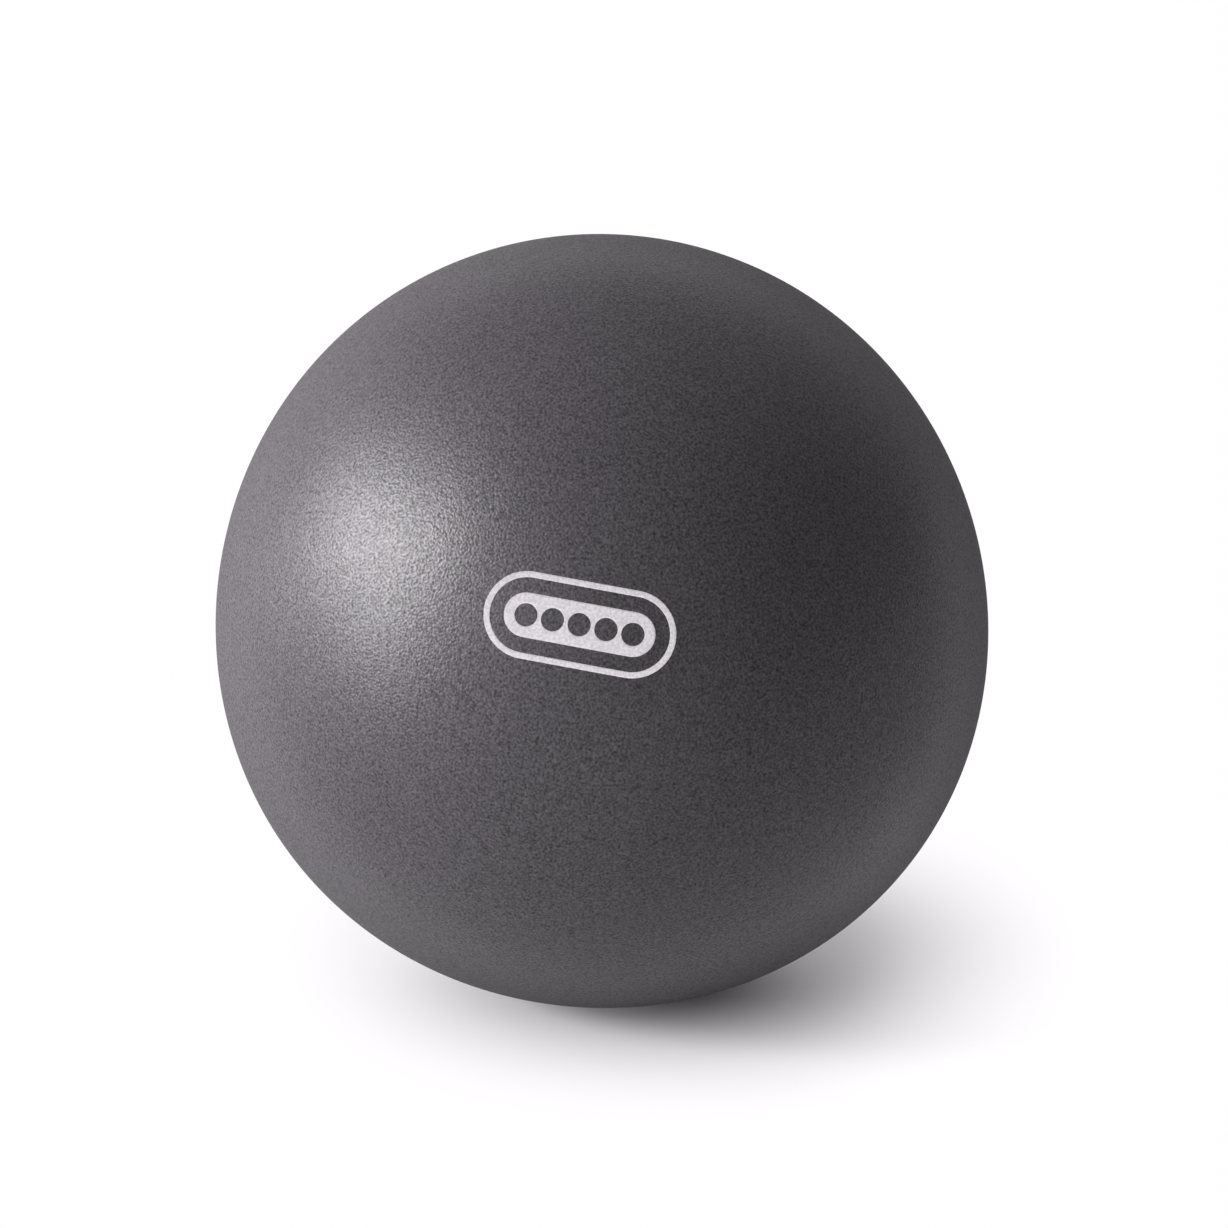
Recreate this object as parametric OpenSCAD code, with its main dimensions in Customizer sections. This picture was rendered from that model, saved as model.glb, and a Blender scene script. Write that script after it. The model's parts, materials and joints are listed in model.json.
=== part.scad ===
// Soft exercise ball: an inflated skin with a bonded valve insert, a push-in plug and a printed badge.
// The ball stands on z = 0 on the small flat patch that its own weight presses into the soft skin.
// The badge looks towards -Y and a little up. The valve is opposite, towards +Y and a little down.

/* [Ball] */
// Diameter of the inflated ball
ball_d = 220; // [180:1:260]
// Wall thickness of the moulded skin
skin_t = 1; // [0.8:0.1:2]
// Radius of the flat patch that rests on the floor
patch_r = 24; // [12:1:32]

/* [Valve insert] */
// Angle of the valve below the ball's equator
valve_drop = 18; // [0:1:30]
// Diameter of the collar that shows in the skin's surface
collar_d = 14; // [13:0.5:17]
// Diameter of the flange that is bonded inside the skin
flange_d = 22; // [20:0.5:28]
// Thickness of the flange at its rim
flange_t = 1.2; // [1:0.1:2]
// Outer diameter of the neck inside the ball
neck_d = 9.6; // [8.4:0.1:11]
// Depth of the neck's inner end below the ball's surface
neck_depth = 18; // [17.5:0.5:24]
// Diameter of the bore at its seat, where the plug's head rests
bore_seat_d = 5.8; // [5.4:0.1:6.4]
// Diameter of the bore at its inner end
bore_end_d = 5; // [4.6:0.1:5.4]
// Depth of the recess that the plug's head sits in
recess_depth = 0.9; // [0.5:0.1:1.2]

/* [Plug] */
// Diameter of the plug's head
head_d = 9.8; // [9:0.1:10.4]
// Thickness of the plug's head at its rim
head_t = 1.5; // [1.3:0.1:2]
// Height of the crown of the plug's head above its rim
crown_h = 0.4; // [0.2:0.1:0.6]
// Length of the plug's shank below its head
shank_l = 15.5; // [13:0.5:16]
// Number of sealing ribs on the shank
rib_count = 3; // [2:1:4]
// Height of each rib above the shank
rib_h = 0.3; // [0.2:0.05:0.4]
// Width of each rib at its foot
rib_w = 1.6; // [1.2:0.1:2]
// Radial clearance of the ribs in the bore
rib_clearance = 0.05; // [0.02:0.01:0.1]

/* [Badge] */
// Length of the printed outline
badge_w = 52; // [48:1:60]
// Height of the printed outline
badge_h = 23.5; // [22:0.5:28]
// Width of the printed line
stroke_w = 1.65; // [1.2:0.05:2.4]
// Length of the bar inside the outline
bar_w = 41; // [34:1:42]
// Height of the bar inside the outline
bar_h = 12; // [9:0.5:14]
// Number of dots left open in the bar
dot_count = 5; // [3:1:6]
// Diameter of each dot, where the bar leaves room for it
dot_d = 6.2; // [3.5:0.1:7]
// Slope of the badge, its right end lower
badge_slope = 9.4; // [0:0.1:15]
// Angle of the badge above the ball's equator
badge_lift = 17.7; // [0:0.1:30]
// Angle of the badge to the left of the ball's front
badge_turn = 3.2; // [-20:0.1:20]
// Thickness of the ink
ink_t = 0.1; // [0.08:0.01:0.2]

/* [Hidden] */
$fn = 144;

skin_color = [0.30, 0.29, 0.31];
insert_color = [0.33, 0.32, 0.34];
plug_color = [0.80, 0.80, 0.81];
ink_color = [0.88, 0.87, 0.89];

ball_r = ball_d / 2;
inner_r = ball_r - skin_t;
centre_z = sqrt(pow(ball_r, 2) - pow(patch_r, 2));
past = 1;

// Heights in the valve's frame, measured outwards from the ball's centre
head_gap = 0.4;
recess_d = head_d + 2 * head_gap;
seat_z = sqrt(pow(ball_r, 2) - pow(recess_d / 2, 2)) - recess_depth;
flange_z = sqrt(pow(inner_r, 2) - pow(flange_d / 2, 2)) - flange_t;
neck_z = ball_r - neck_depth;
tip_z = seat_z - shank_l;

// The last rib stays this many pitches above the shank's tip
tip_share = 1.5;
rib_pitch = shank_l / (rib_count + tip_share);
rib_land = rib_w / 4;
crown_r = (pow(head_d / 2, 2) + pow(crown_h, 2)) / (2 * crown_h);

badge_depth = ball_r - sqrt(pow(ball_r, 2) - pow(badge_w / 2, 2)) + past;
dot_pitch = (bar_w - bar_h) / (dot_count - 1);
dot_gap = 0.6;
dot_open_d = min(dot_d, dot_pitch - dot_gap, bar_h - 2 * dot_gap);

// Radius of the tapered bore at height z in the valve's frame
function bore_radius(z) =
    bore_end_d / 2 + (bore_seat_d - bore_end_d) / 2 * (z - neck_z) / (seat_z - neck_z);

function rib_radius(z) = bore_radius(z) - rib_clearance;
function shank_radius(z) = rib_radius(z) - rib_h;

// Outline points of one rib whose middle is at height z, from its upper foot to its lower foot
function rib_points(z) = [
    [shank_radius(z + rib_w / 2), z + rib_w / 2],
    [rib_radius(z + rib_land), z + rib_land],
    [rib_radius(z - rib_land), z - rib_land],
    [shank_radius(z - rib_w / 2), z - rib_w / 2]
];

module at_centre() {
    translate([0, 0, centre_z]) children();
}

// Z points out of the ball through the valve
module valve_frame() {
    at_centre() rotate([-(90 + valve_drop), 0, 0]) children();
}

// Z points out of the ball through the badge, X to the right and Y up as it is read
module badge_frame() {
    at_centre() rotate([90 - badge_lift, 0, -badge_turn]) children();
}

// A ball of radius r, cut flat at height floor_z
module resting_ball(r, floor_z) {
    difference() {
        at_centre() sphere(r);
        translate([-ball_d, -ball_d, floor_z - ball_d]) cube([2 * ball_d, 2 * ball_d, ball_d]);
    }
}

module stadium(length, height) {
    straight = length - height;
    square([straight, height], center = true);
    for (side = [-1, 1])
        translate([side * straight / 2, 0]) circle(d = height);
}

module badge_outline() {
    difference() {
        stadium(badge_w, badge_h);
        stadium(badge_w - 2 * stroke_w, badge_h - 2 * stroke_w);
    }
}

module badge_bar() {
    difference() {
        stadium(bar_w, bar_h);
        for (i = [0 : dot_count - 1])
            translate([(i - (dot_count - 1) / 2) * dot_pitch, 0]) circle(d = dot_open_d);
    }
}

// The hollow skin, with the round hole that the valve's collar fills
module ball_skin() {
    color(skin_color)
    difference() {
        resting_ball(ball_r, 0);
        resting_ball(inner_r, skin_t);
        valve_frame() translate([0, 0, flange_z]) cylinder(d = collar_d, h = ball_r - flange_z + past);
    }
}

// The collar fills the skin's hole, and the flange lies against the skin from inside
module valve_outside() {
    intersection() {
        at_centre() sphere(ball_r);
        valve_frame() translate([0, 0, flange_z]) cylinder(d = collar_d, h = ball_r - flange_z + past);
    }
    intersection() {
        at_centre() sphere(inner_r);
        valve_frame() translate([0, 0, flange_z]) cylinder(d = flange_d, h = ball_r - flange_z);
    }
    valve_frame() translate([0, 0, neck_z]) cylinder(d = neck_d, h = flange_z + flange_t / 2 - neck_z);
}

// The tapered bore between two heights
module bore(low, high) {
    translate([0, 0, low]) cylinder(r1 = bore_radius(low), r2 = bore_radius(high), h = high - low);
}

// The recess for the plug's head, and the tapered bore below it
module valve_inside() {
    valve_frame() {
        translate([0, 0, seat_z]) cylinder(d = recess_d, h = ball_r - seat_z + past);
        bore(neck_z - past, seat_z + past);
    }
}

module valve_body() {
    color(insert_color)
    difference() {
        valve_outside();
        valve_inside();
    }
}

module plug_head() {
    translate([0, 0, seat_z]) cylinder(d = head_d, h = head_t);
    intersection() {
        translate([0, 0, seat_z + head_t / 2]) cylinder(d = head_d, h = head_t);
        translate([0, 0, seat_z + head_t + crown_h - crown_r]) sphere(crown_r);
    }
}

module plug_shank() {
    top_z = seat_z + head_t / 2;
    top_r = shank_radius(seat_z);
    tip_r = shank_radius(tip_z) - rib_clearance;
    rotate_extrude()
        polygon(concat(
            [[0, top_z], [top_r, top_z], [top_r, seat_z]],
            [for (i = [1 : rib_count], p = rib_points(seat_z - i * rib_pitch)) p],
            [[tip_r, tip_z + tip_r], [0, tip_z + tip_r]]
        ));
    translate([0, 0, tip_z + tip_r]) sphere(tip_r);
}

module valve_plug() {
    color(plug_color)
    valve_frame() {
        plug_head();
        plug_shank();
    }
}

// A film of ink that follows the ball's surface
module printed_badge() {
    color(ink_color)
    intersection() {
        difference() {
            at_centre() sphere(ball_r + ink_t);
            at_centre() sphere(ball_r);
        }
        badge_frame() translate([0, 0, ball_r - badge_depth])
            linear_extrude(height = badge_depth + past)
                rotate(-badge_slope) {
                    badge_outline();
                    badge_bar();
                }
    }
}

ball_skin();
valve_body();
valve_plug();
printed_badge();
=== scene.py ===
"""Soft exercise ball: the looks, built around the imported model. Metres, +Z up, the badge looks towards -Y.

The skin sags a little where it stands, as a softly filled ball does. It keeps its true round shape at the
valve, so that the valve's pieces fit it. The badge's film follows the same surface.
"""

import json
import math

import bpy
import numpy as np
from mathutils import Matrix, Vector


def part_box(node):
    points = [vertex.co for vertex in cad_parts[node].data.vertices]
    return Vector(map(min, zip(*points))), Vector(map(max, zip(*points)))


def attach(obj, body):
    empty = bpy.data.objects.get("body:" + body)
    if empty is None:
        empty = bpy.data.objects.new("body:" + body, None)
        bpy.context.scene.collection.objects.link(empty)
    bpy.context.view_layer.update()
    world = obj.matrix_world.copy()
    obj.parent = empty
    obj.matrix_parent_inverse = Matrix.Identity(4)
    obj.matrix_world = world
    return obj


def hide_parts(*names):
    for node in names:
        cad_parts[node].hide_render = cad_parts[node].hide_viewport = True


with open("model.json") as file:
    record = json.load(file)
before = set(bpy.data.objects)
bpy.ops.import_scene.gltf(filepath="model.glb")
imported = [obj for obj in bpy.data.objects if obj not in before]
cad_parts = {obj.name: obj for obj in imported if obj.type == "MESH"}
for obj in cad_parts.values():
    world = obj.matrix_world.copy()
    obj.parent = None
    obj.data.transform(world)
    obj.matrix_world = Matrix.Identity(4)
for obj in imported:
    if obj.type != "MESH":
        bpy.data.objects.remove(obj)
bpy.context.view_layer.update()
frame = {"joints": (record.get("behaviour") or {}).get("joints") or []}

MM = 0.001
UP = np.array([0.0, 0.0, 1.0])
TINY = 1e-9

# --- The ball, from the frame -----------------------------------------------------------------------

skin_low, skin_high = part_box("ball_skin")
BALL_R = round((skin_high.x - skin_low.x) / 2, 4)
CENTRE = np.array([0.0, 0.0, skin_high.z - BALL_R])
VALVE_AXIS = np.array(frame["joints"][0]["axis"], dtype=float)
VALVE_AXIS /= np.linalg.norm(VALVE_AXIS)

# --- How the soft skin stands -----------------------------------------------------------------------

# Shares of the radius by which the resting skin's outline departs from a circle
SAG = 0.0057
SKEW = 0.0038
SQUARENESS = 0.0022
# Height above and below the floor within which the skin bends flat
FOOT_BLEND = 1.5 * MM
# Angles from the valve's axis: truly round up to the first, fully soft beyond the second
ROUND_NEAR_VALVE = math.radians(12)
SOFT_BEYOND = math.radians(40)

# --- Skin -------------------------------------------------------------------------------------------

WALL = 1.0 * MM
HOLE_R = 7.05 * MM
HOLE_FILLET = 0.25 * MM
PAD_R = 13.2 * MM
PAD_RIM_WIDTH = 1.1 * MM
PAD_RIM_HEIGHT = 0.34 * MM
SEAM_POLAR = math.pi / 2
SEAM_WIDTH = 0.5 * MM
SEAM_HEIGHT = 0.1 * MM

SKIN_SEGMENTS = 256
# First, end and step of the rings' angles from the valve's axis, in degrees
INSIDE_RINGS = (176, 6, -4.25)
RINGS_NEAR_VALVE = (4.0, 8.6, 0.15)
PLAIN_RINGS = (8.8, 179.4, 0.7)
HOLE_WALL_RINGS = 4
FILLET_TURNS = (20, 40, 60, 80)
SEAM_RINGS = 25
# How far the seam's rings reach, and how far the plain ones stay away, in widths of the seam
SEAM_REACH = 1.2
SEAM_CLEAR = 1.4

# --- Valve insert and plug, heights measured from the ball's centre along the valve -----------------

COLLAR_R = 6.95 * MM
COLLAR_STEP = 0.14 * MM
RECESS_R = 5.3 * MM
RECESS_DEPTH = 0.9 * MM
FLANGE_R = 11.0 * MM
FLANGE_T = 1.2 * MM
NECK_R = 4.8 * MM
NECK_END = BALL_R - 18.0 * MM
BORE_SEAT_R = 2.9 * MM
BORE_END_R = 2.5 * MM
SEAT = math.sqrt(BALL_R**2 - RECESS_R**2) - RECESS_DEPTH

HEAD_R = 4.9 * MM
HEAD_T = 1.5 * MM
CROWN_H = 0.4 * MM
CROWN_END_R = 0.86 * HEAD_R
CROWN_POINTS = 7
DIMPLE_R = 1.5 * MM
DIMPLE_DEPTH = 0.35 * MM
DIMPLE_BLEND = 0.4 * MM
NOTCH_DEPTH = 0.5 * MM
NOTCH_HALF_ANGLE = math.radians(24)
NOTCH_MIDDLE = SEAT + 0.35 * HEAD_T
NOTCH_REACH = 0.6 * HEAD_T
NOTCH_FADE = (0.8 * HEAD_R, 0.98 * HEAD_R)
SHANK_L = 15.5 * MM
RIB_COUNT = 3
RIB_H = 0.3 * MM
RIB_W = 1.6 * MM
RIB_CLEARANCE = 0.05 * MM
RIB_ROUNDING = 0.15 * MM
# The last rib stays this many pitches above the shank's tip
TIP_SHARE = 1.5
TIP_TURNS = range(10, 91, 10)
LATHE_SEGMENTS = 128
BEND_POINTS = 5

# --- Badge ------------------------------------------------------------------------------------------

BADGE_LIFT = math.radians(17.7)
BADGE_TURN = math.radians(3.2)
BADGE_SLOPE = math.radians(9.4)
BADGE_W = 52.0 * MM
BADGE_H = 23.5 * MM
STROKE_W = 1.65 * MM
BAR_W = 41.0 * MM
BAR_H = 12.0 * MM
DOT_COUNT = 5
DOT_D = 6.2 * MM
# How far the film stands above the skin, and how far it reaches into it
INK_T = 0.06 * MM
INK_ROOT = 0.03 * MM

STROKE_RINGS = 5
STRAIGHT_STEPS = 60
END_STEPS = 72
DOT_RINGS = 7
# Points from a dot's side to the corner of its cell, and from there to the cell's top
SIDE_POINTS = 9
TOP_POINTS = 7
WELD_DISTANCE = 0.001 * MM

# --- Camera -----------------------------------------------------------------------------------------

CAMERA_RISE = math.radians(18)
CAMERA_DISTANCE = 1.6
SENSOR = 36.0
# Share of the picture's width that the ball takes up
BALL_SHARE = 0.6309
AIM_RIGHT = 3.4 * MM
AIM_UP = 2.3 * MM

# --- Lights and ground ------------------------------------------------------------------------------

# name: (azimuth from the ball, 0 towards +X and 90 towards +Y; elevation; side of the panel; power)
OBJECT_LIGHTS = {
    "key_high_front": (205, 28, 0.3, 19.6),
    "key_low_front": (205, 8, 0.3, 8.3),
    "key_middle": (185, 18, 0.3, 8.0),
    "key_high_back": (175, 28, 0.3, 5.1),
    "left_low": (165, 5, 0.3, 1.4),
    "left_back": (150, 25, 0.6, 0.8),
    "back": (90, 12, 1.0, 1.9),
    "rim": (45, 45, 1.0, 0.6),
}
GROUND_LIGHTS = {
    "ground_top": (0, 88, 1.2, 7.6),
    "ground_left": (195, 16, 0.3, 12.0),
    "ground_back": (90, 12, 1.0, 14.0),
    "ground_front": (270, 45, 1.0, 9.3),
}
LIGHT_DISTANCE = 1.3
LIGHT_TINT = (1.0, 0.97, 1.0)
AMBIENT_LEFT = 0.96
AMBIENT_RIGHT = 0.30

FLOOR_HALF = 12.0
FLOOR_DROP = 0.03 * MM
# The ground is paper within GROUND_NEAR of this point, and an even white glow beyond GROUND_FAR; in between,
# the glow is painted light that fades the ball's shadow out
SHADOW_MIDDLE = (45 * MM, 15 * MM, 0)
GROUND_NEAR = 30 * MM
GROUND_FAR = 180 * MM
GROUND_GLOW = 1.03
GROUND_BOUNCE_LEFT = 1.36
GROUND_BOUNCE_RIGHT = 0.76
GROUND_SPREAD = 300 * MM

# --- Materials --------------------------------------------------------------------------------------

# The colour sockets of a Mix node, whose inputs share their names with its other kinds
MIX_FIRST = 6
MIX_SECOND = 7
MIX_RESULT = 2
# The range that most values of a noise lie in
NOISE_BULK = (0.3, 0.7)

GRAIN_PITCH = 0.66 * MM
GRAIN_HEIGHT = 0.085 * MM
GRAIN_RANGE = (0.14, 0.86)

# The skin's colour in the grain's hollows is darkened with painted shade
SKIN_SHADED_HOLLOWS = (0.0110, 0.0100, 0.0116, 1)
SKIN_CRESTS = (0.0510, 0.0464, 0.0533, 1)
SKIN_SCUFFED = (0.05, 0.046, 0.052, 1)
# Height of the smooth pad in the grain's range
PAD_LEVEL = 0.5
SKIN_CLOUD_PITCH = 35 * MM
SCUFF_RANGE = (0.35, 0.75)
SCUFF_SHARE = 0.12
SKIN_ROUGHNESS = (0.40, 0.46)
# The skin gets rougher where it is seen at a grazing angle, so that a backlit outline stays clear
GRAZING_FROM = 0.5
GRAZING_ROUGHNESS = 0.8
SKIN_GLOSS = (0.12, 0.64)
WAVE_PITCH = 6 * MM
WAVE_HEIGHT = 0.04 * MM

INK_IN_HOLLOWS = (0.76, 0.742, 0.765, 1)
INK_ON_CRESTS = (0.98, 0.955, 0.985, 1)
INK_WORN = (0.35, 0.34, 0.36, 1)
INK_GRAIN_RANGE = (0.25, 0.75)
INK_GRAIN_SHARE = 0.4
INK_WEAR_PITCH = 0.8 * MM
INK_WEAR_RANGE = (0.68, 0.74)
INK_WEAR_SHARE = 0.5
INK_ROUGHNESS = (0.5, 0.62)
INK_ROUGHNESS_PITCH = 1.5 * MM

INSERT_TONES = ((0.07, 0.067, 0.072, 1), (0.1, 0.096, 0.104, 1))
INSERT_TONE_PITCH = 4 * MM
INSERT_ROUGHNESS = (0.34, 0.46)
INSERT_ROUGHNESS_PITCH = 1.2 * MM
INSERT_TEXTURE = (0.5 * MM, 0.012 * MM)

PLUG_TONES = ((0.44, 0.436, 0.445, 1), (0.52, 0.516, 0.525, 1))
PLUG_TONE_PITCH = 5 * MM
PLUG_SMUDGE = (0.34, 0.335, 0.34, 1)
SMUDGE_PITCH = 1.6 * MM
SMUDGE_RANGE = (0.6, 0.8)
SMUDGE_SHARE = 0.35
PLUG_ROUGHNESS = (0.32, 0.44)
PLUG_ROUGHNESS_PITCH = 0.9 * MM
PLUG_TEXTURE = (0.4 * MM, 0.01 * MM)

PAPER_TONES = ((0.86, 0.86, 0.87, 1), (0.9, 0.9, 0.905, 1))
PAPER_TONE_PITCH = 300 * MM
PAPER_ROUGHNESS = 0.9
PAPER_TEXTURE = (3 * MM, 0.02 * MM)


# === Shape helpers ==================================================================================


def smoothstep(low, high, value):
    t = np.clip((value - low) / (high - low), 0.0, 1.0)
    return t * t * (3 - 2 * t)


def ridge(distance, width):
    """A soft ridge, 1 on its crest and nearly 0 at `width` from it."""
    return np.exp(-((2 * distance / width) ** 2))


def press_on_floor(height):
    """Heights above the floor, with what would be below it pressed flat and a soft bend round the foot."""
    bend = (height + FOOT_BLEND) ** 2 / (4 * FOOT_BLEND)
    return np.where(height > FOOT_BLEND, height, np.where(height > -FOOT_BLEND, bend, 0.0))


def depth_floor(depth):
    """The level that a layer of the skin lies on: its own depth above the floor, never below the floor."""
    return np.maximum(depth, 0.0)


def skin_points(directions, depth=0.0):
    """Points of the resting skin along unit directions from the centre, `depth` below its outer surface."""
    x, z = directions[..., 0], directions[..., 2]
    # Waves with three, two and four periods round the outline
    sag = SAG * (4 * z**3 - 3 * z)
    skew = -2 * SKEW * x * z
    square = -SQUARENESS * (x**4 - 6 * x**2 * z**2 + z**4)
    from_valve = np.arccos(np.clip(directions @ VALVE_AXIS, -1, 1))
    soft = smoothstep(ROUND_NEAR_VALVE, SOFT_BEYOND, from_valve)
    radius = BALL_R * (1 + soft * (sag + skew + square)) - depth
    points = CENTRE + directions * radius[..., None]
    points[..., 2] = depth_floor(depth) + press_on_floor(points[..., 2] - depth_floor(depth))
    return points


def spokes(axis, count):
    """Angles round an axis, and the unit vectors across it at those angles."""
    level = np.cross(UP, axis)
    level /= np.linalg.norm(level)
    across = np.cross(axis, level)
    angles = np.linspace(0, 2 * math.pi, count, endpoint=False)
    return angles, np.cos(angles)[:, None] * level + np.sin(angles)[:, None] * across


def new_object(name, points, faces, smooth=True):
    mesh = bpy.data.meshes.new(name)
    mesh.from_pydata([tuple(p) for p in points], [], faces)
    mesh.polygons.foreach_set("use_smooth", [smooth] * len(mesh.polygons))
    mesh.update()
    obj = bpy.data.objects.new(name, mesh)
    bpy.context.scene.collection.objects.link(obj)
    return obj


def ring_faces(first, second, count):
    """Quads between two rings of `count` points that start at the given indices."""
    turns = [(i, (i + 1) % count) for i in range(count)]
    return [(first + i, first + j, second + j, second + i) for i, j in turns]


def fan_faces(pole, ring, count, pole_first):
    """Triangles between a ring and a pole that lies before or after it, in the order of ring_faces."""
    if pole_first:
        return [(pole, ring + (i + 1) % count, ring + i) for i in range(count)]
    return [(pole, ring + i, ring + (i + 1) % count) for i in range(count)]


def rounded(corners, closed):
    """An outline through corners (radius, height, rounding), each corner turned into a smooth bend."""
    points = []
    count = len(corners)
    for i, (x, y, rounding) in enumerate(corners):
        here = np.array([x, y])
        if rounding == 0 or (not closed and i in (0, count - 1)):
            points.append(here)
            continue
        before = np.array(corners[i - 1][:2]) - here
        after = np.array(corners[(i + 1) % count][:2]) - here
        start = here + before / np.linalg.norm(before) * rounding
        end = here + after / np.linalg.norm(after) * rounding
        for t in np.linspace(0, 1, BEND_POINTS):
            points.append((1 - t) ** 2 * start + 2 * t * (1 - t) * here + t**2 * end)
    return points


def lathe(name, outline, closed, shape=None):
    """Turns (radius, height) points about the valve's axis. An open outline starts and ends on the axis."""
    angles, around = spokes(VALVE_AXIS, LATHE_SEGMENTS)
    rings = outline if closed else outline[1:-1]
    points = []
    for radius, height in rings:
        radii = np.full(LATHE_SEGMENTS, radius)
        if shape is not None:
            radii = shape(radii, height, angles)
        points.extend(CENTRE + VALVE_AXIS * height + around * radii[:, None])
    faces = []
    for k in range(len(rings) if closed else len(rings) - 1):
        faces += ring_faces(k * LATHE_SEGMENTS, (k + 1) % len(rings) * LATHE_SEGMENTS, LATHE_SEGMENTS)
    if not closed:
        last = (len(rings) - 1) * LATHE_SEGMENTS
        points.append(CENTRE + VALVE_AXIS * outline[0][1])
        points.append(CENTRE + VALVE_AXIS * outline[-1][1])
        faces += fan_faces(len(points) - 2, 0, LATHE_SEGMENTS, pole_first=True)
        faces += fan_faces(len(points) - 1, last, LATHE_SEGMENTS, pole_first=False)
    return new_object(name, points, faces)


# === Skin ===========================================================================================


def skin_relief(polar):
    """Height of the mould's marks above the plain skin, at an angle from the valve's axis."""
    along = polar * BALL_R
    pad_rim = PAD_RIM_HEIGHT * ridge(along - PAD_R, PAD_RIM_WIDTH)
    seam = SEAM_HEIGHT * ridge(along - SEAM_POLAR * BALL_R, SEAM_WIDTH)
    return pad_rim + seam


def hole_rings():
    """(angle from the valve's axis, depth) of the rings down the hole's wall and round its outer edge."""
    hole = math.asin(HOLE_R / BALL_R)
    rings = [(hole, depth) for depth in np.linspace(WALL, HOLE_FILLET, HOLE_WALL_RINGS)]
    for turn in np.radians(FILLET_TURNS):
        outwards = HOLE_FILLET * (1 - math.cos(turn)) / BALL_R
        rings.append((hole + outwards, HOLE_FILLET * (1 - math.sin(turn))))
    return rings


def skin_rings():
    """(angle from the valve's axis, depth) of each ring, from inside, through the hole, to outside."""
    inner = [(polar, WALL) for polar in np.radians(np.arange(*INSIDE_RINGS))]
    near_valve = np.radians(np.arange(*RINGS_NEAR_VALVE))
    plain = np.radians(np.arange(*PLAIN_RINGS))
    at_seam = SEAM_POLAR + np.linspace(-SEAM_REACH, SEAM_REACH, SEAM_RINGS) * SEAM_WIDTH / BALL_R
    clear_of_seam = plain[abs(plain - SEAM_POLAR) > SEAM_CLEAR * SEAM_WIDTH / BALL_R]
    outer = sorted([*near_valve, *clear_of_seam, *at_seam])
    return inner + hole_rings() + [(polar, -skin_relief(polar)) for polar in outer]


def make_skin():
    _, around = spokes(VALVE_AXIS, SKIN_SEGMENTS)
    rings = skin_rings()
    points = []
    for polar, depth in rings:
        points.extend(skin_points(math.cos(polar) * VALVE_AXIS + math.sin(polar) * around, depth))
    faces = []
    for k in range(len(rings) - 1):
        faces += ring_faces((k + 1) * SKIN_SEGMENTS, k * SKIN_SEGMENTS, SKIN_SEGMENTS)
    opposite = -VALVE_AXIS[None, :]
    points.extend(skin_points(opposite, WALL))
    points.extend(skin_points(opposite, 0.0))
    last = (len(rings) - 1) * SKIN_SEGMENTS
    faces += fan_faces(len(points) - 2, 0, SKIN_SEGMENTS, pole_first=False)
    faces += fan_faces(len(points) - 1, last, SKIN_SEGMENTS, pole_first=True)
    return new_object("ball_skin_soft", points, faces)


# === Valve insert and plug ==========================================================================


def bore_radius(height):
    return BORE_END_R + (BORE_SEAT_R - BORE_END_R) * (height - NECK_END) / (SEAT - NECK_END)


def shank_radius(height):
    return bore_radius(height) - RIB_CLEARANCE - RIB_H


def surface_height(radius, depth=0.0):
    """Height of a layer of the round ball at a distance from the valve's axis."""
    return math.sqrt((BALL_R - depth) ** 2 - radius**2)


def make_valve_insert():
    flange_low = surface_height(FLANGE_R, WALL) - FLANGE_T
    step_r = (COLLAR_R + RECESS_R) / 2
    # (radius, height, rounding) from the collar's edge inwards, down the bore and back up outside
    corners = [
        (COLLAR_R, surface_height(COLLAR_R) - COLLAR_STEP, 0.2 * MM),
        (step_r, surface_height(step_r) - COLLAR_STEP, 0.1 * MM),
        (step_r, surface_height(step_r), 0.08 * MM),
        (RECESS_R, surface_height(RECESS_R), 0.2 * MM),
        (RECESS_R, SEAT, 0.15 * MM),
        (BORE_SEAT_R, SEAT, 0.3 * MM),
        (BORE_END_R, NECK_END, 0.25 * MM),
        (NECK_R, NECK_END, 0.8 * MM),
        (NECK_R, flange_low, 1.2 * MM),
        (FLANGE_R, flange_low, 0.4 * MM),
        (FLANGE_R, surface_height(FLANGE_R, WALL), 0.1 * MM),
        (COLLAR_R, surface_height(COLLAR_R, WALL), 0),
    ]
    return lathe("valve_insert_moulded", rounded(corners, closed=True), closed=True)


def nail_notch(radii, height, angles):
    """A shallow scoop in one side of the plug's head, for a fingernail."""
    off_middle = height - NOTCH_MIDDLE
    if abs(off_middle) > NOTCH_REACH:
        return radii
    from_notch = np.minimum(angles, 2 * math.pi - angles)
    scoop = np.clip(1 - (from_notch / NOTCH_HALF_ANGLE) ** 2, 0, None)
    share = 1 - (off_middle / NOTCH_REACH) ** 2
    at_rim = smoothstep(*NOTCH_FADE, radii)
    return radii - NOTCH_DEPTH * scoop * share * at_rim


def head_corners():
    """(radius, height, rounding) of the plug's head, from the dimple's middle to the shank."""
    crown_r = (HEAD_R**2 + CROWN_H**2) / (2 * CROWN_H)
    rim = SEAT + HEAD_T
    top = rim + CROWN_H
    crown_radii = np.linspace(DIMPLE_R + DIMPLE_BLEND, CROWN_END_R, CROWN_POINTS)
    return [
        (0, top - DIMPLE_DEPTH, 0),
        (DIMPLE_R - DIMPLE_BLEND, top - DIMPLE_DEPTH, 0.25 * MM),
        (DIMPLE_R, top, 0.2 * MM),
        *[(r, top - r**2 / (2 * crown_r), 0) for r in crown_radii],
        (HEAD_R, rim, 0.4 * MM),
        (HEAD_R, SEAT + 0.5 * HEAD_T, 0.1 * MM),
        (HEAD_R, SEAT, 0.2 * MM),
        (shank_radius(SEAT), SEAT, 0.2 * MM),
    ]


def rib_corners(middle):
    """(radius, height, rounding) of one rib, from its upper foot to its lower foot."""
    corners = []
    for offset, rise in ((0.5, 0), (0.25, RIB_H), (-0.25, RIB_H), (-0.5, 0)):
        height = middle + offset * RIB_W
        corners.append((shank_radius(height) + rise, height, RIB_ROUNDING))
    return corners


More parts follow.
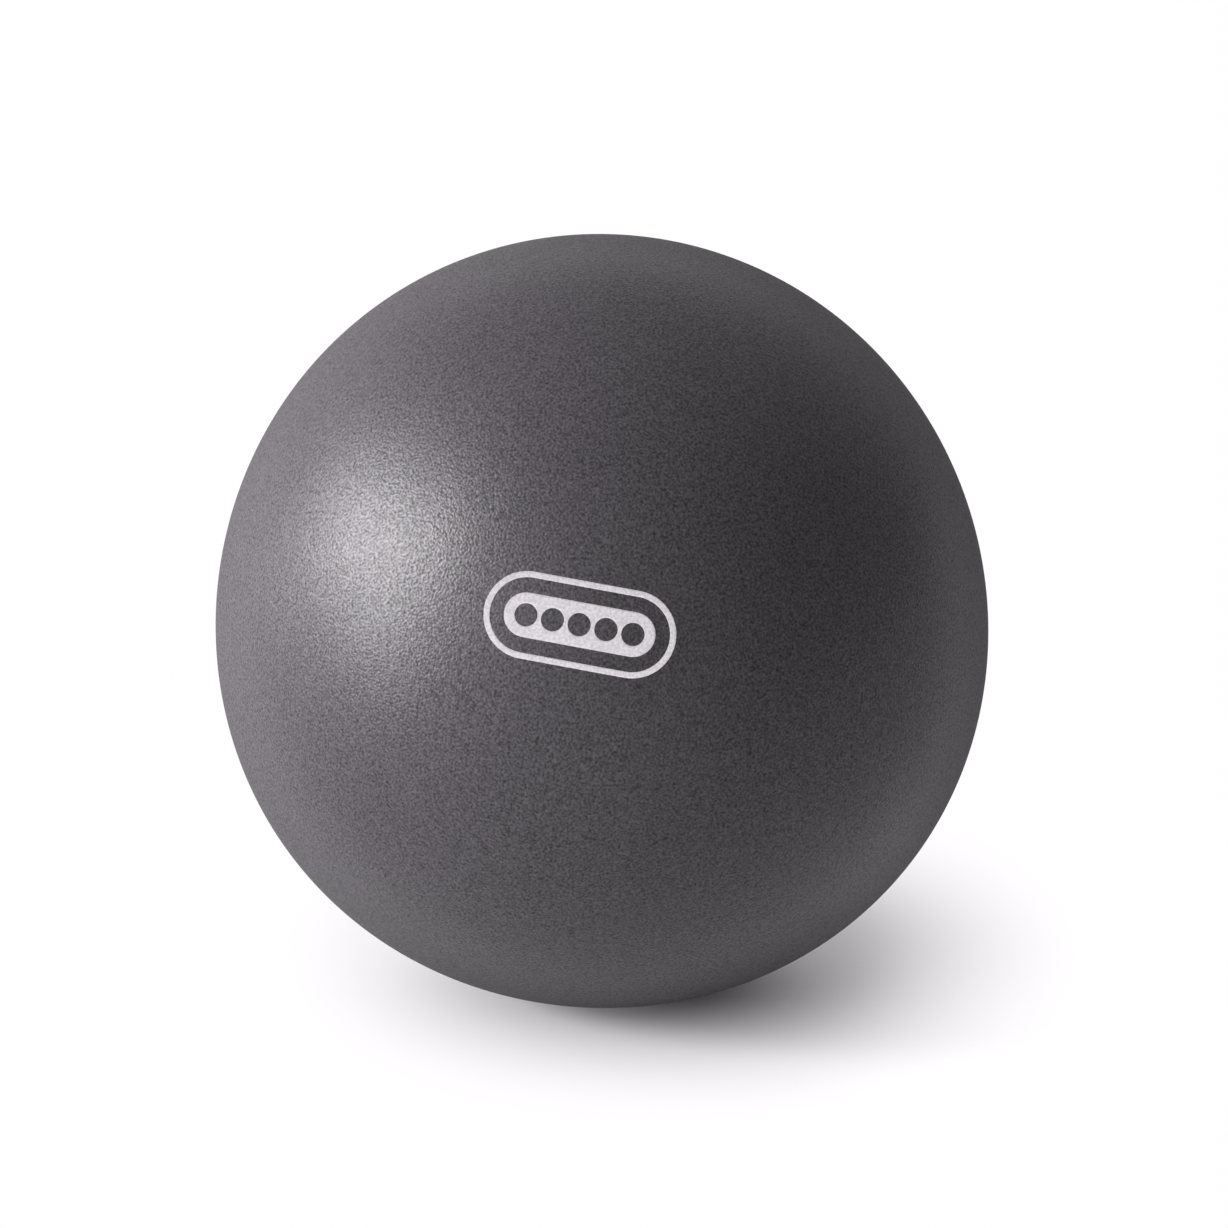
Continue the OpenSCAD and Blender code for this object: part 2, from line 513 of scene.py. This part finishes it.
def plug_outline():
    corners = head_corners()
    pitch = SHANK_L / (RIB_COUNT + TIP_SHARE)
    for i in range(1, RIB_COUNT + 1):
        corners += rib_corners(SEAT - i * pitch)
    tip = SEAT - SHANK_L
    tip_r = shank_radius(tip) - RIB_CLEARANCE
    outline = rounded(corners + [(tip_r, tip + tip_r, 0)], closed=False)
    outline += [(tip_r * math.cos(a), tip + tip_r * (1 - math.sin(a))) for a in np.radians(TIP_TURNS)]
    return [*outline[:-1], np.array([0, tip])]


# === Badge ==========================================================================================


def badge_directions(flat):
    """Unit directions from the ball's centre to points (right, up) of the badge's drawing, as it is read."""
    cos_s, sin_s = math.cos(BADGE_SLOPE), math.sin(BADGE_SLOPE)
    right = flat[:, 0] * cos_s + flat[:, 1] * sin_s
    up = -flat[:, 0] * sin_s + flat[:, 1] * cos_s
    out = np.sqrt(BALL_R**2 - right**2 - up**2)
    turn, lift = BADGE_TURN, BADGE_LIFT
    facing = np.array([-math.sin(turn) * math.cos(lift), -math.cos(turn) * math.cos(lift), math.sin(lift)])
    to_right = np.array([math.cos(turn), -math.sin(turn), 0.0])
    upward = np.cross(facing, to_right)
    directions = right[:, None] * to_right + up[:, None] * upward + out[:, None] * facing
    return directions / np.linalg.norm(directions, axis=1)[:, None]


def stadium_path(length, height):
    """Spine points and outward normals round a shape with straight sides and half-round ends."""
    half = (length - height) / 2
    spine, normals = [], []
    for side in (1, -1):
        for x in np.linspace(half, -half, STRAIGHT_STEPS, endpoint=False) * side:
            spine.append((x, 0))
            normals.append((0, side))
        for a in np.linspace(math.pi / 2, math.pi * 1.5, END_STEPS, endpoint=False):
            spine.append((-half * side, 0))
            normals.append((math.cos(a) * side, math.sin(a) * side))
    return np.array(spine), np.array(normals)


def outline_grid():
    """Points and quads of the badge's outer line."""
    spine, normals = stadium_path(BADGE_W, BADGE_H)
    count = len(spine)
    radii = np.linspace(BADGE_H / 2 - STROKE_W, BADGE_H / 2, STROKE_RINGS)
    points = np.concatenate([spine + normals * radius for radius in radii])
    faces = []
    for k in range(len(radii) - 1):
        faces += ring_faces(k * count, (k + 1) * count, count)
    return points, faces


def cell_angles(pitch):
    """Angles round a dot, with one at each corner of its cell."""
    corner = math.atan2(BAR_H, pitch)
    to_corner = np.linspace(0, corner, SIDE_POINTS)[:-1]
    to_top = np.linspace(corner, math.pi / 2, TOP_POINTS)[:-1]
    quarter = np.concatenate([to_corner, to_top])
    half = np.concatenate([quarter, [math.pi / 2], math.pi - quarter[:0:-1]])
    return np.concatenate([half, half + math.pi])


def cell_reach(angles, pitch, open_left, open_right):
    """Distance from a dot's centre to its cell's edge at each angle. An open side is a half-round end."""
    cos, sin = np.cos(angles), np.sin(angles)
    to_side = pitch / 2 / np.maximum(np.abs(cos), TINY)
    to_edge = BAR_H / 2 / np.maximum(np.abs(sin), TINY)
    at_end = (open_right & (cos > TINY)) | (open_left & (cos < -TINY))
    return np.where(at_end, BAR_H / 2, np.minimum(to_side, to_edge))


def bar_grid():
    """Points and quads of the bar, as one grid round each dot that meets its neighbours' grids."""
    pitch = (BAR_W - BAR_H) / (DOT_COUNT - 1)
    angles = cell_angles(pitch)
    around = np.stack([np.cos(angles), np.sin(angles)], axis=1)
    count = len(angles)
    points, faces = [], []
    for i in range(DOT_COUNT):
        middle = np.array([(i - (DOT_COUNT - 1) / 2) * pitch, 0])
        reach = cell_reach(angles, pitch, i == 0, i == DOT_COUNT - 1)
        first = len(points)
        for share in np.linspace(0, 1, DOT_RINGS):
            radius = DOT_D / 2 + (reach - DOT_D / 2) * share
            points.extend(middle + around * radius[:, None])
        for k in range(DOT_RINGS - 1):
            faces += ring_faces(first + k * count, first + (k + 1) * count, count)
    return weld(np.array(points), faces)


def weld(points, faces):
    """Joins points that lie on each other."""
    keys = {}
    index = [keys.setdefault(tuple(np.round(p / WELD_DISTANCE).astype(int)), len(keys)) for p in points]
    kept = np.zeros((len(keys), points.shape[1]))
    for i, k in enumerate(index):
        kept[k] = points[i]
    return kept, [tuple(index[i] for i in face) for face in faces]


def film(name, flat, faces):
    """A thin closed layer of ink over the flat drawing's faces, laid on the resting skin."""
    directions = badge_directions(flat)
    count = len(flat)
    points = np.concatenate([skin_points(directions, -INK_T), skin_points(directions, INK_ROOT)])
    edges = [edge for face in faces for edge in zip(face, face[1:] + face[:1])]
    shared = set(edges)
    walls = [(a, a + count, b + count, b) for a, b in edges if (b, a) not in shared]
    under = [tuple(i + count for i in reversed(face)) for face in faces]
    return new_object(name, points, list(faces) + under + walls)


# === Node trees =====================================================================================


class Tree:
    """Short forms for building a node tree."""

    def __init__(self, tree):
        self.tree = tree

    def add(self, kind, inputs=None, **settings):
        node = self.tree.nodes.new(kind)
        for key, value in settings.items():
            setattr(node, key, value)
        for key, value in (inputs or {}).items():
            self.put(node.inputs[key], value)
        return node

    def put(self, socket, value):
        if isinstance(value, bpy.types.NodeSocket):
            self.tree.links.new(value, socket)
        else:
            socket.default_value = value

    def span(self, value, low, high, to_low=0.0, to_high=1.0):
        inputs = {"Value": value, "From Min": low, "From Max": high, "To Min": to_low, "To Max": to_high}
        return self.add("ShaderNodeMapRange", inputs).outputs["Result"]


class Surface(Tree):
    """Short forms for building one material."""

    def __init__(self, name):
        self.material = bpy.data.materials.new(name)
        self.material.use_nodes = True
        super().__init__(self.material.node_tree)
        self.shader = self.tree.nodes["Principled BSDF"]
        self.place = self.add("ShaderNodeTexCoord").outputs["Object"]

    def noise(self, pitch, detail=2.0, roughness=0.5):
        inputs = {"Vector": self.place, "Scale": 1 / pitch, "Detail": detail, "Roughness": roughness}
        return self.add("ShaderNodeTexNoise", inputs).outputs["Fac"]

    def drift(self, pitch, low=0.0, high=1.0, detail=2.0):
        """A value that wanders between `low` and `high`."""
        return self.span(self.noise(pitch, detail), *NOISE_BULK, low, high)

    def ease(self, value, low, high):
        """0 below `low` and 1 above `high`, with a soft start and end."""
        inputs = {"Value": value, "From Min": low, "From Max": high}
        return self.add("ShaderNodeMapRange", inputs, interpolation_type="SMOOTHSTEP").outputs["Result"]

    def mix(self, share, first, second):
        inputs = {"Factor": share, MIX_FIRST: first, MIX_SECOND: second}
        return self.add("ShaderNodeMix", inputs, data_type="RGBA").outputs[MIX_RESULT]

    def bump(self, height, distance, under=None):
        node = self.add("ShaderNodeBump", {"Height": height, "Distance": distance, "Strength": 1.0})
        if under is not None:
            self.put(node.inputs["Normal"], under)
        return node.outputs["Normal"]

    def texture(self, pitch, height):
        """The normal of a fine even texture."""
        return self.bump(self.noise(pitch), height)

    def away_from(self, point, low, high):
        """0 within `low` of a point, 1 beyond `high`."""
        node = self.add("ShaderNodeVectorMath", {0: self.place, 1: point}, operation="DISTANCE")
        return self.ease(node.outputs["Value"], low, high)

    def finish(self, colour, roughness, normal, **fixed):
        self.put(self.shader.inputs["Base Color"], colour)
        self.put(self.shader.inputs["Roughness"], roughness)
        self.put(self.shader.inputs["Normal"], normal)
        for key, value in fixed.items():
            self.shader.inputs[key.replace("_", " ")].default_value = value
        return self.material


# === Materials ======================================================================================


def grain(n):
    """Height of the moulded pebble grain, about 0 to 1: soft round pebbles of uneven size."""
    return n.span(n.noise(GRAIN_PITCH, detail=0.5), *GRAIN_RANGE)


def skin_material():
    """Grained vinyl, with dull hollows darkened by painted shade and glossier crests, and a smooth pad round
    the valve.
    """
    n = Surface("skin_pebbled_vinyl")
    valve_point = tuple(CENTRE + VALVE_AXIS * BALL_R)
    rough_area = n.away_from(valve_point, PAD_R, PAD_R + PAD_RIM_WIDTH)
    pebble = n.span(rough_area, 0.0, 1.0, PAD_LEVEL, grain(n))
    clouds = n.noise(SKIN_CLOUD_PITCH, detail=3.0)
    # Darker in the grain's hollows: painted shade
    base = n.mix(pebble, SKIN_SHADED_HOLLOWS, SKIN_CRESTS)
    colour = n.mix(n.span(clouds, *SCUFF_RANGE, 0.0, SCUFF_SHARE), base, SKIN_SCUFFED)
    facing = n.add("ShaderNodeLayerWeight", {"Blend": 0.5}).outputs["Facing"]
    grazing = n.ease(facing, GRAZING_FROM, 1.0)
    plain_roughness = n.span(clouds, *NOISE_BULK, *SKIN_ROUGHNESS)
    roughness = n.span(grazing, 0.0, 1.0, plain_roughness, GRAZING_ROUGHNESS)
    normal = n.bump(pebble, GRAIN_HEIGHT, under=n.texture(WAVE_PITCH, WAVE_HEIGHT))
    n.put(n.shader.inputs["Specular IOR Level"], n.span(pebble, 0.0, 1.0, *SKIN_GLOSS))
    return n.finish(colour, roughness, normal)


def ink_material():
    """Pale ink, thinner in the grain's hollows, with small worn spots."""
    n = Surface("ink_pale_grey")
    pebble = grain(n)
    wear = n.noise(INK_WEAR_PITCH, roughness=0.7)
    worn = n.span(wear, *INK_WEAR_RANGE, 0.0, INK_WEAR_SHARE)
    tone = n.mix(n.span(pebble, *INK_GRAIN_RANGE), INK_IN_HOLLOWS, INK_ON_CRESTS)
    colour = n.mix(worn, tone, INK_WORN)
    roughness = n.drift(INK_ROUGHNESS_PITCH, *INK_ROUGHNESS)
    normal = n.bump(pebble, INK_GRAIN_SHARE * GRAIN_HEIGHT)
    return n.finish(colour, roughness, normal, Specular_IOR_Level=0.35)


def insert_material():
    n = Surface("valve_insert_vinyl")
    tone = n.mix(n.drift(INSERT_TONE_PITCH, detail=3.0), *INSERT_TONES)
    roughness = n.drift(INSERT_ROUGHNESS_PITCH, *INSERT_ROUGHNESS)
    return n.finish(tone, roughness, n.texture(*INSERT_TEXTURE), Specular_IOR_Level=0.5)


def plug_material():
    n = Surface("plug_light_grey")
    tone = n.mix(n.drift(PLUG_TONE_PITCH, detail=3.0), *PLUG_TONES)
    smudges = n.noise(SMUDGE_PITCH, detail=3.0, roughness=0.7)
    colour = n.mix(n.span(smudges, *SMUDGE_RANGE, 0.0, SMUDGE_SHARE), tone, PLUG_SMUDGE)
    roughness = n.drift(PLUG_ROUGHNESS_PITCH, *PLUG_ROUGHNESS)
    return n.finish(colour, roughness, n.texture(*PLUG_TEXTURE), Specular_IOR_Level=0.5)


def floor_material():
    """White paper round the ball. Further out it is an even white glow, painted light that fades the ball's
    shadow out and lights the ball more from the left.
    """
    n = Surface("floor_white_paper")
    tone = n.mix(n.noise(PAPER_TONE_PITCH), *PAPER_TONES)
    material = n.finish(tone, PAPER_ROUGHNESS, n.texture(*PAPER_TEXTURE), Specular_IOR_Level=0.1)
    even = n.away_from(SHADOW_MIDDLE, GROUND_NEAR, GROUND_FAR)
    across = n.add("ShaderNodeSeparateXYZ", {"Vector": n.place}).outputs["X"]
    bounce = n.span(across, -GROUND_SPREAD, GROUND_SPREAD, GROUND_BOUNCE_LEFT, GROUND_BOUNCE_RIGHT)
    seen = n.add("ShaderNodeLightPath").outputs["Is Camera Ray"]
    strength = n.add("ShaderNodeMix", {"Factor": seen, "A": bounce, "B": GROUND_GLOW}).outputs["Result"]
    glow = n.add("ShaderNodeEmission", {"Color": (*LIGHT_TINT, 1), "Strength": strength})
    paper_and_glow = {"Fac": even, 1: n.shader.outputs["BSDF"], 2: glow.outputs["Emission"]}
    mixed = n.add("ShaderNodeMixShader", paper_and_glow)
    n.put(n.tree.nodes["Material Output"].inputs["Surface"], mixed.outputs["Shader"])
    return material


# === Camera, light and floor ========================================================================


def make_camera():
    back = Vector((0, -math.cos(CAMERA_RISE), math.sin(CAMERA_RISE)))
    up = Vector((0, math.sin(CAMERA_RISE), math.cos(CAMERA_RISE)))
    aim = Vector(CENTRE) + Vector((1, 0, 0)) * AIM_RIGHT + up * AIM_UP
    data = bpy.data.cameras.new("camera")
    data.sensor_width = SENSOR
    half_angle_tan = BALL_R / math.sqrt(CAMERA_DISTANCE**2 - BALL_R**2) / BALL_SHARE
    data.lens = SENSOR / 2 / half_angle_tan
    camera = bpy.data.objects.new("camera", data)
    camera.location = aim + back * CAMERA_DISTANCE
    camera.rotation_euler = back.to_track_quat("Z", "Y").to_euler()
    bpy.context.scene.collection.objects.link(camera)
    bpy.context.scene.camera = camera


def make_light(name, azimuth, elevation, side, power):
    a, e = math.radians(azimuth), math.radians(elevation)
    towards = Vector((math.cos(a) * math.cos(e), math.sin(a) * math.cos(e), math.sin(e)))
    data = bpy.data.lights.new(name, "AREA")
    data.size = side
    data.energy = power
    data.color = LIGHT_TINT
    light = bpy.data.objects.new(name, data)
    light.location = Vector(CENTRE) + towards * LIGHT_DISTANCE
    light.rotation_euler = towards.to_track_quat("Z", "Y").to_euler()
    light.visible_camera = False
    bpy.context.scene.collection.objects.link(light)
    return light


def receivers(name, objects, link_state):
    """A collection that tells a light which objects it reaches, or which it leaves out."""
    collection = bpy.data.collections.new(name)
    for obj in objects:
        collection.objects.link(obj)
    for entry in collection.collection_objects:
        entry.light_linking.link_state = link_state
    return collection


def make_lights(ground, prints):
    """Soft panels in two sets: for the ball's tones, with the print left out, and for the ground's shadow."""
    sets = (
        (OBJECT_LIGHTS, receivers("left_out", [ground, *prints], "EXCLUDE")),
        (GROUND_LIGHTS, receivers("ground_only", [ground], "INCLUDE")),
    )
    for panels, collection in sets:
        for name, settings in panels.items():
            make_light(name, *settings).light_linking.receiver_collection = collection


def make_world():
    """A pale studio, plain white where the camera sees it. Elsewhere it is a weaker light, darkest on +X."""
    world = bpy.data.worlds.new("studio")
    bpy.context.scene.world = world
    world.use_nodes = True
    world.node_tree.nodes.clear()
    n = Tree(world.node_tree)
    place = n.add("ShaderNodeTexCoord").outputs["Generated"]
    across = n.add("ShaderNodeSeparateXYZ", {"Vector": place}).outputs["X"]
    strength = n.span(across, -1, 1, AMBIENT_LEFT, AMBIENT_RIGHT)
    tint = (*LIGHT_TINT, 1)
    ambient = n.add("ShaderNodeBackground", {"Color": tint, "Strength": strength}).outputs["Background"]
    white = n.add("ShaderNodeBackground", {"Color": tint}).outputs["Background"]
    seen = n.add("ShaderNodeLightPath").outputs["Is Camera Ray"]
    mixed = n.add("ShaderNodeMixShader", {"Fac": seen, 1: ambient, 2: white}).outputs["Shader"]
    n.add("ShaderNodeOutputWorld", {"Surface": mixed})


def make_floor():
    half, low = FLOOR_HALF, -FLOOR_DROP
    corners = [(-half, -half, low), (half, -half, low), (half, half, low), (-half, half, low)]
    floor = new_object("studio_floor", corners, [(0, 1, 2, 3)], smooth=False)
    floor.data.materials.append(floor_material())
    return floor


# === The object =====================================================================================


def dress(piece, material, node, body):
    """Gives a piece its material and its body, and hides the CAD node that it stands for."""
    piece.data.materials.clear()
    piece.data.materials.append(material)
    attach(piece, body)
    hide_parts(node)


make_camera()
make_world()

dress(make_skin(), skin_material(), "ball_skin", "ball")
dress(make_valve_insert(), insert_material(), "valve_body", "ball")
plug = lathe("valve_plug_moulded", plug_outline(), closed=False, shape=nail_notch)
dress(plug, plug_material(), "valve_plug", "plug")

ink = ink_material()
prints = [film("badge_outline", *outline_grid()), film("badge_bar", *bar_grid())]
for part in prints:
    dress(part, ink, "printed_badge", "ball")
make_lights(make_floor(), prints)

scene = bpy.context.scene
scene.view_settings.view_transform = "Standard"
scene.view_settings.look = "None"
